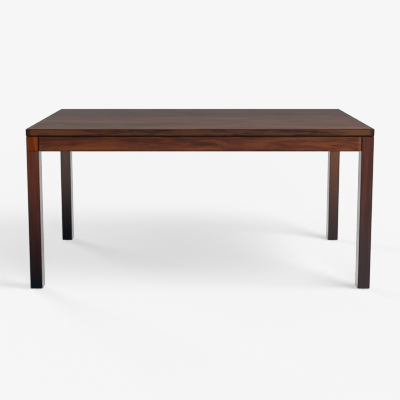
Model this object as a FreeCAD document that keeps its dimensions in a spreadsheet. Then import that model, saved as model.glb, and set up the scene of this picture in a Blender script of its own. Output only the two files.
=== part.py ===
import FreeCAD, Part
import math
import os
import re

import Sketcher

# Dining table with square legs flush with the edge of the top, in millimetres.
# X runs along the table, the front faces -Y, and Z rises from the floor under the table's middle.

# Every size that can be set by itself: its name, its value and what it measures.
SIZES = (
    ("TableLength", 1600, "top, end to end"),
    ("TableDepth", 890, "top, front to rear"),
    ("TableHeight", 762, "floor to the top's upper face"),
    ("TopThickness", 33, "boards of the top"),
    ("TopOverhang", 1, "top past the outer faces of the legs"),
    ("TopEase", 4, "rounding along the top's upper edges"),
    ("TopUnderEase", 5.5, "rounding along the top's lower edges"),
    ("TopCorner", 6, "rounding of the top's corners in plan"),
    ("TongueThick", 8, "tongue between two boards"),
    ("TongueLength", 8, "tongue past the board's edge"),
    ("TongueGap", 0.1, "glue room on each side of a tongue"),
    ("TongueRoom", 0.5, "groove past the tongue's tip"),
    ("LegSide", 56, "square leg, face to face"),
    ("LegFlat", 16, "inner corner of the leg cut away along each face"),
    ("LegBevel", 2, "bevel round the leg's bottom end"),
    ("FrameEase", 4, "rounding along the edges of legs and aprons"),
    ("ApronHeight", 70, "apron, top to bottom"),
    ("ApronThick", 22, "apron, outer to inner face"),
    ("RailThick", 22, "cross rail, side to side"),
    ("RailHeight", 50, "cross rail, top to bottom"),
    ("RailSpacing", 480, "cross rails, middle to middle"),
    ("TenonLength", 10, "cross rail's tenon in the apron"),
    ("TenonThick", 10, "cross rail's tenon, side to side"),
    ("TenonShoulder", 9, "rail above and below its tenon"),
    ("TenonGap", 0.2, "mortise past the tenon on each side"),
    ("PlateReach", 72, "leg face to the corner plate's bend"),
    ("PlateFlat", 30, "corner plate along the apron"),
    ("PlateLip", 7, "corner plate's lip in the apron"),
    ("PlateThick", 2.5, "sheet of the corner plate"),
    ("PlateMargin", 7, "apron above and below the corner plate"),
    ("PlateBend", 2.5, "inner radius of the plate's bends"),
    ("LipGap", 0.3, "saw cut past the lip on each side"),
    ("BoltDiameter", 8, "hanger bolt"),
    ("BoltCover", 26, "wood from the bolt's tip to the leg's outer corner"),
    ("BoltEdge", 11, "bolt from the corner plate's edge"),
    ("BoltPast", 4, "bolt past its nut"),
    ("BoltPoint", 6, "taper of the bolt's wood end"),
    ("BoltBevel", 1, "bevel at the bolt's nut end"),
    ("NutAcross", 13, "nut, flat to flat"),
    ("NutHeight", 6.5, "nut along the bolt"),
    ("WasherDiameter", 16, "washer, outside"),
    ("WasherThick", 1.6, "washer along the bolt"),
    ("ScrewShank", 4.2, "wood screws"),
    ("ScrewHead", 8, "screw head across"),
    ("ScrewHeadHeight", 2.6, "screw head along the screw"),
    ("ScrewFlat", 4.8, "flat on the screw head"),
    ("ScrewPoint", 3, "taper of a screw's tip"),
    ("ApronCover", 7, "wood from a plate screw's tip to the apron's face"),
    ("TopCover", 17, "wood from a screw's tip to the top's upper face"),
    ("ClipThick", 2, "sheet of the top clips"),
    ("ClipWidth", 18, "top clip along the apron"),
    ("ClipHook", 8, "top clip inside the apron's groove"),
    ("ClipStandoff", 5, "apron's inner face to the clip's riser"),
    ("ClipTongue", 24, "clip's upper tongue, riser to tip"),
    ("ClipDrop", 10, "frame's upper edge to the clip's hook"),
    ("ClipScrewAt", 17, "apron's inner face to the clip's screw"),
    ("ClipFromRail", 120, "top clip from the middle of the nearest cross rail"),
    ("GrooveRoom", 1, "apron's groove past the clip's hook"),
    ("RailGrip", 22, "rail under a screw's head"),
    ("SlotTravel", 6, "play across the grain in a rail's outer slots"),
    ("PadDiameter", 32, "foot pad"),
    ("PadHeight", 4, "foot pad, floor to upper face"),
    ("PadBevel", 1, "bevel round the foot pad's lower edge"),
    ("PadFloor", 1.5, "foot pad under the stem's flange"),
    ("PadGap", 0.3, "foot pad to the leg when wound right in"),
    ("SwivelGap", 0.2, "foot pad round the stem's flange and neck"),
    ("StemDiameter", 8, "foot stem"),
    ("StemFlange", 14, "stem's flange across"),
    ("StemFlangeThick", 1.5, "stem's flange along the stem"),
    ("StemNeck", 9, "stem between its flange and its hexagon"),
    ("StemHex", 13, "stem's hexagon, flat to flat"),
    ("StemHexHeight", 5, "stem's hexagon along the stem"),
    ("StemPoint", 1, "bevel at the stem's upper end"),
    ("StemSpare", 2, "thread left past the insert when wound right out"),
    ("FootTravel", 12, "foot's adjustment"),
    ("InsertDiameter", 13, "threaded insert, outside"),
    ("InsertLength", 16, "threaded insert above its flange"),
    ("InsertFlange", 18, "insert's flange across"),
    ("InsertFlangeThick", 1.5, "insert's flange along the leg"),
    ("ThreadGap", 0.1, "room round a thread"),
    ("ClearGap", 0.5, "room round a screw or bolt that passes through"),
    ("BoreRoom", 3, "bore past the tip of what it holds"),
)
BOARD_COUNT = 7
HEX_SIDES = 6
FULL_TURN = 360
# A sketch on the XZ plane, turned this far about Z, faces the table's middle from the front left corner.
TO_MIDDLE = 135
# Edges are found by their place, to within this distance.
NEAR = 0.01

doc = FreeCAD.newDocument("dining_table")
sheet = doc.addObject("Spreadsheet::Sheet", "Sizes")
for row, (alias, size, meaning) in enumerate(SIZES, 1):
    sheet.set(f"A{row}", meaning)
    sheet.set(f"B{row}", str(size))
    sheet.setAlias(f"B{row}", alias)
doc.recompute()

# Heights above the floor.
FRAME_TOP = "(TableHeight - TopThickness)"
FRAME_FOOT = f"({FRAME_TOP} - ApronHeight)"
FRAME_MIDDLE = f"({FRAME_TOP} - ApronHeight / 2)"
LEG_FOOT = "(PadHeight + PadGap)"
FLANGE_TOP = "(PadFloor + StemFlangeThick)"
NECK_TOP = f"({LEG_FOOT} + SwivelGap)"
HEX_TOP = f"({NECK_TOP} + StemHexHeight)"
INSERT_FOOT = f"({HEX_TOP} + ClearGap)"
INSERT_SEAT = f"({INSERT_FOOT} + InsertFlangeThick)"
INSERT_TOP = f"({INSERT_SEAT} + InsertLength)"
STEM_TOP = f"({INSERT_TOP} + FootTravel + StemSpare)"

# Distances from the table's middle.
FRAME_X = "(TableLength / 2 - TopOverhang)"
FRAME_Y = "(TableDepth / 2 - TopOverhang)"
LEG_X = f"({FRAME_X} - LegSide / 2)"
LEG_Y = f"({FRAME_Y} - LegSide / 2)"
BOARD_WIDTH = f"(TableDepth / {BOARD_COUNT})"

# Along a hanger bolt, from the flat on the leg's inner corner.
FLAT_FROM_AXIS = "((LegSide - LegFlat) / 2)"
PLATE_FROM_AXIS = "((PlateReach + ApronThick) / 2 + PlateThick / sqrt(2))"
PLATE_FACE = f"(({PLATE_FROM_AXIS} - {FLAT_FROM_AXIS}) * sqrt(2))"
WASHER_FACE = f"({PLATE_FACE} + WasherThick)"
NUT_FACE = f"({WASHER_FACE} + NutHeight)"
BOLT_BITE = "((2 * LegSide - LegFlat) / sqrt(2) - BoltCover)"
BOLT_RISE = "(ApronHeight / 2 - PlateMargin - BoltEdge)"

# Corner name, its sides along X and Y, and the turn that points its inside at the table's middle.
CORNERS = (
    ("front_left", -1, -1, 0),
    ("front_right", 1, -1, 90),
    ("rear_right", 1, 1, 180),
    ("rear_left", -1, 1, 270),
)


# Parametric building blocks

def bound(text):
    """The expression with its size names read from the sheet."""
    return re.sub(r"\b[A-Z][A-Za-z]+", lambda name: "Sizes." + name.group(0), text)


def value(text):
    """The number that an expression has now."""
    return float(sheet.evalExpression(bound(text)))


def new_body(label):
    body = doc.addObject("PartDesign::Body", label)
    body.Label = label
    return body


def new_sketch(body, plane, away="0", turn=0, across="0"):
    """A sketch on an origin plane: away along its normal, moved across, and turned about its upright."""
    sketch = body.newObject("Sketcher::SketchObject", f"{body.Name}_sketch")
    support = next(feature for feature in body.Origin.OriginFeatures if feature.Role == plane)
    sketch.AttachmentSupport = [(support, "")]
    sketch.MapMode = "FlatFace"
    upright = FreeCAD.Vector(0, 1, 0)
    sketch.AttachmentOffset = FreeCAD.Placement(FreeCAD.Vector(), FreeCAD.Rotation(upright, turn))
    sketch.setExpression("AttachmentOffset.Base.z", bound(away))
    sketch.setExpression("AttachmentOffset.Base.x", bound(across))
    return sketch


def pin_point(sketch, geometry, point, x, y):
    """Ties a point of the sketch to its distances from the sketch's origin."""
    for kind, distance in (("DistanceX", x), ("DistanceY", y)):
        tie = Sketcher.Constraint(kind, -1, 1, geometry, point, value(distance))
        number = sketch.addConstraint(tie)
        sketch.setExpression(f"Constraints[{number}]", bound(distance))


def add_outline(sketch, corners):
    """A closed outline of straight lines through corners given as expressions."""
    points = [FreeCAD.Vector(value(x), value(y), 0) for x, y in corners]
    first = sketch.GeometryCount
    for start, end in zip(points, points[1:] + points[:1]):
        sketch.addGeometry(Part.LineSegment(start, end), False)
    for number, (x, y) in enumerate(corners):
        following = first + (number + 1) % len(corners)
        sketch.addConstraint(Sketcher.Constraint("Coincident", first + number, 2, following, 1))
        pin_point(sketch, first + number, 1, x, y)


def rectangle(x_low, y_low, x_high, y_high):
    return [(x_low, y_low), (x_high, y_low), (x_high, y_high), (x_low, y_high)]


def hexagon(across):
    """Corners of a hexagon of that size from flat to flat."""
    angles = range(0, FULL_TURN, FULL_TURN // HEX_SIDES)
    return [(f"{across} / sqrt(3) * cos({angle})", f"{across} / sqrt(3) * sin({angle})") for angle in angles]


def add_circle(sketch, x, y, diameter):
    centre = FreeCAD.Vector(value(x), value(y), 0)
    circle = Part.Circle(centre, FreeCAD.Vector(0, 0, 1), value(diameter) / 2)
    geometry = sketch.addGeometry(circle, False)
    pin_point(sketch, geometry, 3, x, y)
    number = sketch.addConstraint(Sketcher.Constraint("Diameter", geometry, value(diameter)))
    sketch.setExpression(f"Constraints[{number}]", bound(diameter))


def add_slot(sketch, x, y, width, travel):
    """A slot with round ends, whose end centres lie a travel apart along the sketch's upright."""
    ends = (f"{y} + {travel} / 2", f"{y} - {travel} / 2")
    radius = value(width) / 2
    arcs = []
    for number, end in enumerate(ends):
        centre = FreeCAD.Vector(value(x), value(end), 0)
        circle = Part.Circle(centre, FreeCAD.Vector(0, 0, 1), radius)
        arc = Part.ArcOfCircle(circle, number * math.pi, (number + 1) * math.pi)
        arcs.append(sketch.addGeometry(arc, False))
    sides = []
    for side, (start, end) in ((-1, ends), (1, ends[::-1])):
        edge = value(x) + side * radius
        line = Part.LineSegment(FreeCAD.Vector(edge, value(start), 0), FreeCAD.Vector(edge, value(end), 0))
        sides.append(sketch.addGeometry(line, False))
    loop = (arcs[0], sides[0], arcs[1], sides[1])
    for before, after in zip(loop, loop[1:] + loop[:1]):
        sketch.addConstraint(Sketcher.Constraint("Tangent", before, 2, after, 1))
    sketch.addConstraint(Sketcher.Constraint("Equal", arcs[0], arcs[1]))
    for arc, end in zip(arcs, ends):
        pin_point(sketch, arc, 3, x, end)
    number = sketch.addConstraint(Sketcher.Constraint("Diameter", arcs[0], value(width)))
    sketch.setExpression(f"Constraints[{number}]", bound(width))


def new_feature(body, kind):
    """A feature at the end of the body, and the volume that the body had before it."""
    volume = body.Tip.Shape.Volume if body.Tip else 0
    return body.newObject("PartDesign::" + kind, f"{body.Name}_{kind}"), volume


def confirm_change(body, feature, volume, adds):
    """Stops the build if a feature didn't add or cut what it should."""
    doc.recompute()
    change = feature.Shape.Volume - volume
    if (change if adds else -change) <= NEAR:
        raise ValueError(f"{feature.Name} of {body.Label} changes nothing")


def extrude(body, kind, sketch, length, along_normal):
    """Pads or pockets a sketch, along its normal or against it."""
    feature, volume = new_feature(body, kind)
    feature.Profile = sketch
    feature.setExpression("Length", bound(length))
    adds = kind == "Pad"
    feature.Reversed = along_normal != adds
    confirm_change(body, feature, volume, adds)


def revolve(body, kind, profile):
    """Turns a profile of radius and height pairs about the body's own Z axis."""
    sketch = new_sketch(body, "XZ_Plane")
    add_outline(sketch, profile)
    feature, volume = new_feature(body, kind)
    feature.Profile = sketch
    feature.ReferenceAxis = (sketch, ["V_Axis"])
    feature.Angle = FULL_TURN
    confirm_change(body, feature, volume, kind == "Revolution")


def ease(body, kind, size, chosen):
    """Rounds or bevels the edges whose boxes are chosen."""
    base = body.Tip
    edges = [f"Edge{number}" for number, edge in enumerate(base.Shape.Edges, 1) if chosen(edge.BoundBox)]
    feature, _ = new_feature(body, kind)
    feature.Base = (base, edges)
    feature.setExpression("Radius" if kind == "Fillet" else "Size", bound(size))
    doc.recompute()


def place(thing, x, y, z="0", rotation=FreeCAD.Rotation()):
    """Puts a piece at a place given as expressions."""
    thing.Placement = FreeCAD.Placement(FreeCAD.Vector(), rotation)
    for axis, distance in zip("xyz", (x, y, z)):
        thing.setExpression(f"Placement.Base.{axis}", bound(distance))


def about_z(turn):
    return FreeCAD.Rotation(FreeCAD.Vector(0, 0, 1), turn)


nodes = []


def keep(thing):
    """Lists a finished piece for writing."""
    nodes.append(thing)


def keep_copies(label, pattern, places):
    """A group of like pieces: one link to the pattern piece at each place."""
    links = []
    for number, where in enumerate(places, 1):
        link = doc.addObject("App::Link", f"{label}_{number}")
        link.LinkedObject = pattern
        place(link, *where)
        links.append(link)
    group = doc.addObject("Part::Compound", label)
    group.Label = label
    group.Links = links
    keep(group)


# Screws into the top: where the clips and the cross rails hold it.

CLIP_SCREW_X = f"({FRAME_X} - ApronThick - ClipScrewAt)"
CLIP_SCREW_Y = f"({FRAME_Y} - ApronThick - ClipScrewAt)"
LONG_CLIPS_X = [
    f"{side} * (RailSpacing / 2 {step} ClipFromRail)" for side in (-1, 1) for step in ("-", "+")
]
SHORT_CLIPS_Y = [f"{side} * {BOARD_WIDTH}" for side in (-1, 1)]
RAILS = (("left", -1), ("right", 1))
RAIL_SCREWS_Y = [f"{steps} * {BOARD_WIDTH}" for steps in (-2, 0, 2)]
MIDDLE_BOARD = (BOARD_COUNT + 1) // 2

clip_screws = [(x, f"{side} * {CLIP_SCREW_Y}") for side in (-1, 1) for x in LONG_CLIPS_X]
clip_screws += [(f"{side} * {CLIP_SCREW_X}", y) for side in (-1, 1) for y in SHORT_CLIPS_Y]
rail_screws = [(f"{side} * RailSpacing / 2", y) for _, side in RAILS for y in RAIL_SCREWS_Y]


# Table top: boards along X, glued edge to edge with tongues and grooves

def make_board(number):
    first, last = number == 1, number == BOARD_COUNT
    tongue = ("(-TopThickness / 2 - TongueThick / 2)", "(-TopThickness / 2 + TongueThick / 2)")
    groove = (f"({tongue[0]} - TongueGap)", f"({tongue[1]} + TongueGap)")
    tongue_tip = f"({BOARD_WIDTH} + TongueLength)"
    groove_end = "(TongueLength + TongueRoom)"
    section = [("0", "-TopThickness"), (BOARD_WIDTH, "-TopThickness")]
    if not last:
        section += [(BOARD_WIDTH, tongue[0]), (tongue_tip, tongue[0])]
        section += [(tongue_tip, tongue[1]), (BOARD_WIDTH, tongue[1])]
    section += [(BOARD_WIDTH, "0"), ("0", "0")]
    if not first:
        section += [("0", groove[1]), (groove_end, groove[1]), (groove_end, groove[0]), ("0", groove[0])]

    board = new_body(f"top_board_{number}")
    sketch = new_sketch(board, "YZ_Plane", "-TableLength / 2")
    add_outline(sketch, section)
    extrude(board, "Pad", sketch, "TableLength", True)

    thickness, width = value("TopThickness"), value(BOARD_WIDTH)
    joints = ([] if first else [0]) + ([] if last else [width])

    def is_corner(edge):
        return edge.ZLength > thickness - NEAR and all(abs(edge.YMin - joint) > NEAR for joint in joints)

    def rim_at(level):
        """Chooses the edges round a face at that height that the next board doesn't cover."""

        def chosen(edge):
            on_face = edge.ZLength < NEAR and abs(edge.ZMin - level) < NEAR
            on_joint = edge.YLength < NEAR and any(abs(edge.YMin - joint) < NEAR for joint in joints)
            return on_face and not on_joint

        return chosen

    if first or last:
        ease(board, "Fillet", "TopCorner", is_corner)
    ease(board, "Fillet", "TopEase", rim_at(0))
    ease(board, "Fillet", "TopUnderEase", rim_at(-thickness))

    front = f"({number - 1} * {BOARD_WIDTH} - TableDepth / 2)"
    held = [
        (x, f"{y} - {front}")
        for x, y in clip_screws + rail_screws
        if 0 < value(f"{y} - {front}") < width
    ]
    if held:
        pilots = new_sketch(board, "XY_Plane", "-TopThickness")
        for x, y in held:
            add_circle(pilots, x, y, "ScrewShank + 2 * ThreadGap")
        extrude(board, "Pocket", pilots, "TopThickness - TopCover + BoreRoom", True)
    place(board, "0", front, "TableHeight")
    keep(board)


# Legs: square posts with a flat for the hanger bolts and a stepped bore for the foot

def make_leg(corner, side_x, side_y, turn):
    leg = new_body("leg_" + corner)
    half = "LegSide / 2"
    square = new_sketch(leg, "XY_Plane", LEG_FOOT)
    add_outline(square, rectangle(f"-{half}", f"-{half}", half, half))
    extrude(leg, "Pad", square, f"{FRAME_TOP} - {LEG_FOOT}", True)
    low, high = value(LEG_FOOT), value(FRAME_TOP)
    ease(leg, "Fillet", "FrameEase", lambda edge: edge.ZMax > high - NEAR)
    ease(leg, "Chamfer", "LegBevel", lambda edge: edge.ZMax < low + NEAR)

    flat = new_sketch(leg, "XY_Plane", FRAME_TOP)
    past, short = f"({half} + LegFlat)", f"({half} - 2 * LegFlat)"
    add_outline(flat, [(past, short), (past, past), (short, past)])
    extrude(leg, "Pocket", flat, "ApronHeight", False)

    pilots = new_sketch(leg, "XZ_Plane", f"-{FLAT_FROM_AXIS}", TO_MIDDLE, FLAT_FROM_AXIS)
    for side in (-1, 1):
        add_circle(pilots, "0", f"{FRAME_MIDDLE} + {side} * {BOLT_RISE}", "BoltDiameter + 2 * ThreadGap")
    extrude(leg, "Pocket", pilots, f"{BOLT_BITE} + BoreRoom", False)

    pocket = "(max(InsertFlange / 2; StemHex / sqrt(3)) + ClearGap)"
    insert = "(InsertDiameter / 2 + ThreadGap)"
    stem = "(StemDiameter / 2 + ClearGap)"
    end = f"({STEM_TOP} + BoreRoom)"
    bore = [("0", LEG_FOOT), (pocket, LEG_FOOT), (pocket, INSERT_SEAT), (insert, INSERT_SEAT)]
    bore += [(insert, INSERT_TOP), (stem, INSERT_TOP), (stem, end), ("0", end)]
    revolve(leg, "Groove", bore)
    place(leg, f"{side_x} * {LEG_X}", f"{side_y} * {LEG_Y}", "0", about_z(turn))
    keep(leg)


# Aprons: boards between the legs, grooved inside for the top clips and cut for the corner plates

def make_apron(side, length, turn, x, y, mortises):
    """An apron with its outer face on the body's XZ plane, and a mortise at each distance along it."""
    apron = new_body("apron_" + side)
    groove_top = "(ApronHeight - ClipDrop)"
    groove_foot = f"({groove_top} - ClipThick - GrooveRoom)"
    groove_end = "(ApronThick - ClipHook - GrooveRoom)"
    section = [("0", "0"), ("ApronThick", "0"), ("ApronThick", groove_foot), (groove_end, groove_foot)]
    section += [(groove_end, groove_top), ("ApronThick", groove_top)]
    section += [("ApronThick", "ApronHeight"), ("0", "ApronHeight")]
    sketch = new_sketch(apron, "YZ_Plane", f"-{length} / 2")
    add_outline(sketch, section)
    extrude(apron, "Pad", sketch, length, True)
    ease(apron, "Fillet", "FrameEase", lambda edge: edge.YMax < NEAR)

    cuts = new_sketch(apron, "XY_Plane", "ApronHeight")
    pilots = new_sketch(apron, "XZ_Plane", "-ApronThick")
    for end in (-1, 1):
        lip = f"({length} / 2 - PlateReach - PlateFlat)"
        inside, outside = f"{end} * ({lip} - LipGap)", f"{end} * ({lip} + PlateThick + PlateBend)"
        depth = "ApronThick - PlateLip - LipGap"
        add_outline(cuts, rectangle(inside, depth, outside, "ApronThick + LipGap"))
        for level in (-1, 1):
            hole = f"{end} * ({length} / 2 - PlateReach - PlateFlat / 2)"
            height = f"ApronHeight / 2 + {level} * {BOLT_RISE}"
            add_circle(pilots, hole, height, "ScrewShank + 2 * ThreadGap")
    extrude(apron, "Pocket", cuts, "ApronHeight", False)
    extrude(apron, "Pocket", pilots, "ApronThick - ApronCover + BoreRoom", True)

    if mortises:
        openings = new_sketch(apron, "XZ_Plane", "-ApronThick")
        half = "(TenonThick / 2 + TenonGap)"
        low = "ApronHeight - RailHeight + TenonShoulder - TenonGap"
        high = "ApronHeight - TenonShoulder + TenonGap"
        for middle in mortises:
            add_outline(openings, rectangle(f"{middle} - {half}", low, f"{middle} + {half}", high))
        extrude(apron, "Pocket", openings, "TenonLength + TenonGap", True)
    place(apron, x, y, FRAME_FOOT, about_z(turn))
    keep(apron)


# Cross rails: tenoned into the long aprons and screwed to the top through slots

def make_rail(name, side):
    rail = new_body("cross_rail_" + name)
    half_thick, half_long = "RailThick / 2", f"({FRAME_Y} - ApronThick)"
    block = new_sketch(rail, "XY_Plane", "-RailHeight")
    add_outline(block, rectangle(f"-{half_thick}", f"-{half_long}", half_thick, half_long))
    extrude(rail, "Pad", block, "RailHeight", True)
    tenons = new_sketch(rail, "XY_Plane", "TenonShoulder - RailHeight")
    half_thick, half_long = "TenonThick / 2", f"({half_long} + TenonLength)"
    add_outline(tenons, rectangle(f"-{half_thick}", f"-{half_long}", half_thick, half_long))
    extrude(rail, "Pad", tenons, "RailHeight - 2 * TenonShoulder", True)

    for width, depth in (("ScrewHead", "RailHeight - RailGrip"), ("ScrewShank", "RailHeight")):
        holes = new_sketch(rail, "XY_Plane", "-RailHeight")
        wide = f"{width} + 2 * ClearGap"
        for y in RAIL_SCREWS_Y:
            if abs(value(y)) < NEAR:
                add_circle(holes, "0", y, wide)
            else:
                add_slot(holes, "0", y, wide, "SlotTravel")
        extrude(rail, "Pocket", holes, depth, True)
    place(rail, f"{side} * RailSpacing / 2", "0", FRAME_TOP)
    keep(rail)


# Corner plates: folded steel across each corner, with lips hooked into cuts in the aprons

def make_corner_plate(corner, side_x, side_y, turn):
    """A plate in the leg's own frame: along the X apron, across the corner and along the Y apron."""
    plate = new_body("corner_plate_" + corner)
    bend = "(LegSide / 2 + PlateReach)"
    face = "(ApronThick - LegSide / 2)"
    tip = f"({bend} + PlateFlat)"
    inner = f"({face} + PlateThick)"
    inner_bend = f"({bend} + PlateThick * (sqrt(2) - 1))"
    lip_end = f"({face} - PlateLip)"
    lip_face = f"({tip} - PlateThick)"
    half = [(tip, lip_end), (tip, inner), (inner_bend, inner)]
    other_half = [(bend, face), (lip_face, face), (lip_face, lip_end)]
    outline = half + [(y, x) for x, y in half[::-1]] + [(y, x) for x, y in other_half[::-1]] + other_half
    foot = f"({FRAME_FOOT} + PlateMargin)"
    sketch = new_sketch(plate, "XY_Plane", foot)
    add_outline(sketch, outline)
    extrude(plate, "Pad", sketch, "ApronHeight - 2 * PlateMargin", True)

    def folds(*points):
        """Chooses the upright edges at points given on the X half, and at their mirror places."""
        spots = [(value(x), value(y)) for x, y in points]
        spots += [(y, x) for x, y in spots]

        def chosen(edge):
            upright = edge.XLength < NEAR and edge.YLength < NEAR
            return upright and any(abs(edge.XMin - x) + abs(edge.YMin - y) < NEAR for x, y in spots)

        return chosen

    ease(plate, "Fillet", "PlateBend", folds((inner_bend, inner), (lip_face, face)))
    ease(plate, "Fillet", "PlateBend + PlateThick", folds((bend, face), (tip, inner)))

    bolts = new_sketch(plate, "XZ_Plane", f"-{PLATE_FROM_AXIS}", TO_MIDDLE, PLATE_FROM_AXIS)
    along_x = new_sketch(plate, "XZ_Plane", f"-{inner}")
    along_y = new_sketch(plate, "YZ_Plane", inner)
    screw = f"({bend} + PlateFlat / 2)"
    for level in (-1, 1):
        height = f"{FRAME_MIDDLE} + {level} * {BOLT_RISE}"
        add_circle(bolts, "0", height, "BoltDiameter + 2 * ClearGap")
        add_circle(along_x, screw, height, "ScrewShank + 2 * ClearGap")
        add_circle(along_y, screw, height, "ScrewShank + 2 * ClearGap")
    extrude(plate, "Pocket", bolts, "2 * PlateThick", False)
    extrude(plate, "Pocket", along_x, "PlateThick", True)
    extrude(plate, "Pocket", along_y, "PlateThick", False)
    place(plate, f"{side_x} * {LEG_X}", f"{side_y} * {LEG_Y}", "0", about_z(turn))
    keep(plate)


# Fasteners: each pattern piece stands along Z, and its copies make one group

def make_screw(label, length):
    """A round-headed wood screw, point up, with the underside of its head at the origin."""
    screw = new_body(label)
    head, shank, crown = "ScrewHead / 2", "ScrewShank / 2", "-ScrewHeadHeight"
    profile = [("0", crown), ("ScrewFlat / 2", crown), (head, f"{crown} / 2"), (head, "0")]
    profile += [(shank, "0"), (shank, f"{length} - ScrewPoint"), ("0", length)]
    revolve(screw, "Revolution", profile)
    return screw


def make_hanger_bolt():
    """A headless bolt with a wood point in the leg and a machine end for the nut, from the leg's flat."""
    bolt = new_body("hanger_bolt")
    radius = "BoltDiameter / 2"
    end = f"({NUT_FACE} + BoltPast)"
    profile = [("0", f"-{BOLT_BITE}"), (radius, f"BoltPoint - {BOLT_BITE}"), (radius, f"{end} - BoltBevel")]
    profile += [(f"{radius} - BoltBevel", end), ("0", end)]
    revolve(bolt, "Revolution", profile)
    return bolt


def make_ring(label, outline, hole, foot, top):
    """A nut or a washer on the bolt, between two distances from the leg's flat."""
    ring = new_body(label)
    sketch = new_sketch(ring, "XY_Plane", foot)
    if outline == "NutAcross":
        add_outline(sketch, hexagon(outline))
    else:
        add_circle(sketch, "0", "0", outline)
    add_circle(sketch, "0", "0", hole)
    extrude(ring, "Pad", sketch, f"{top} - {foot}", True)
    return ring


# Top clips: Z-shaped steel, hooked into the apron's groove and screwed under the top

def make_clip():
    """A clip whose origin is at the upper edge of an apron's inner face, with Y away from the apron."""
    clip = new_body("top_clip")
    riser, riser_far = "ClipStandoff", "(ClipStandoff + ClipThick)"
    hook_top, hook_foot = "-ClipDrop", "(-ClipDrop - ClipThick)"
    tip = "(ClipStandoff + ClipTongue)"
    section = [("-ClipHook", hook_foot), (riser_far, hook_foot), (riser_far, "-ClipThick")]
    section += [(tip, "-ClipThick"), (tip, "0"), (riser, "0"), (riser, hook_top), ("-ClipHook", hook_top)]
    sketch = new_sketch(clip, "YZ_Plane", "-ClipWidth / 2")
    add_outline(sketch, section)
    extrude(clip, "Pad", sketch, "ClipWidth", True)
    hole = new_sketch(clip, "XY_Plane")
    add_circle(hole, "0", "ClipScrewAt", "ScrewShank + 2 * ClearGap")
    extrude(clip, "Pocket", hole, "ClipThick", False)
    return clip


# Levelling feet: a nylon pad snapped round the flange of a threaded stem, which turns in an insert

def make_foot_pad(corner, side_x, side_y):
    pad = new_body("foot_pad_" + corner)
    rim, mouth = "PadDiameter / 2", "(StemNeck / 2 + SwivelGap)"
    recess, lip = "(StemFlange / 2 + SwivelGap)", f"({FLANGE_TOP} + SwivelGap)"
    profile = [("0", "0"), (f"{rim} - PadBevel", "0"), (rim, "PadBevel"), (rim, "PadHeight")]
    profile += [(mouth, "PadHeight"), (mouth, lip), (recess, lip), (recess, "PadFloor"), ("0", "PadFloor")]
    revolve(pad, "Revolution", profile)
    place(pad, f"{side_x} * {LEG_X}", f"{side_y} * {LEG_Y}")
    keep(pad)


def make_foot_stem(corner, side_x, side_y):
    stem = new_body("foot_stem_" + corner)
    flange, neck, thread = "StemFlange / 2", "StemNeck / 2", "StemDiameter / 2"
    profile = [("0", "PadFloor"), (flange, "PadFloor"), (flange, FLANGE_TOP), (neck, FLANGE_TOP)]
    profile += [(neck, HEX_TOP), (thread, HEX_TOP), (thread, f"{STEM_TOP} - StemPoint")]
    profile += [(f"{thread} - StemPoint", STEM_TOP), ("0", STEM_TOP)]
    revolve(stem, "Revolution", profile)
    sketch = new_sketch(stem, "XY_Plane", NECK_TOP)
    add_outline(sketch, hexagon("StemHex"))
    extrude(stem, "Pad", sketch, "StemHexHeight", True)
    place(stem, f"{side_x} * {LEG_X}", f"{side_y} * {LEG_Y}")
    keep(stem)


def make_insert():
    insert = new_body("foot_insert")
    flange, outside, bore = "InsertFlange / 2", "InsertDiameter / 2", "(StemDiameter / 2 + ThreadGap)"
    profile = [(bore, INSERT_FOOT), (flange, INSERT_FOOT), (flange, INSERT_SEAT), (outside, INSERT_SEAT)]
    profile += [(outside, INSERT_TOP), (bore, INSERT_TOP)]
    revolve(insert, "Revolution", profile)
    return insert


# The whole table

for number in range(1, BOARD_COUNT + 1):
    make_board(number)

for corner, side_x, side_y, turn in CORNERS:
    make_leg(corner, side_x, side_y, turn)
    make_corner_plate(corner, side_x, side_y, turn)
    make_foot_pad(corner, side_x, side_y)
    make_foot_stem(corner, side_x, side_y)

long_side, short_side = f"(2 * {FRAME_X} - 2 * LegSide)", f"(2 * {FRAME_Y} - 2 * LegSide)"
rail_mortises = [f"{side} * RailSpacing / 2" for _, side in RAILS]
make_apron("front", long_side, 0, "0", f"-{FRAME_Y}", rail_mortises)
make_apron("rear", long_side, 180, "0", FRAME_Y, rail_mortises)
make_apron("left", short_side, 270, f"-{FRAME_X}", "0", [])
make_apron("right", short_side, 90, FRAME_X, "0", [])

for name, side in RAILS:
    make_rail(name, side)

upright = FreeCAD.Vector(0, 0, 1)
bolt_places, plate_screw_places = [], []
for _, side_x, side_y, _ in CORNERS:
    inward = FreeCAD.Rotation(upright, FreeCAD.Vector(-side_x, -side_y, 0))
    towards_x = FreeCAD.Rotation(upright, FreeCAD.Vector(side_x, 0, 0))
    towards_y = FreeCAD.Rotation(upright, FreeCAD.Vector(0, side_y, 0))
    plate_inside = "(ApronThick + PlateThick)"
    screw_reach = "(LegSide + PlateReach + PlateFlat / 2)"
    for level in (-1, 1):
        height = f"{FRAME_MIDDLE} + {level} * {BOLT_RISE}"
        bolt_x = f"{side_x} * ({LEG_X} - {FLAT_FROM_AXIS})"
        bolt_y = f"{side_y} * ({LEG_Y} - {FLAT_FROM_AXIS})"
        bolt_places.append((bolt_x, bolt_y, height, inward))
        near_x, far_x = f"{side_x} * ({FRAME_X} - {plate_inside})", f"{side_x} * ({FRAME_X} - {screw_reach})"
        near_y, far_y = f"{side_y} * ({FRAME_Y} - {plate_inside})", f"{side_y} * ({FRAME_Y} - {screw_reach})"
        plate_screw_places.append((near_x, far_y, height, towards_x))
        plate_screw_places.append((far_x, near_y, height, towards_y))

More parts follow.
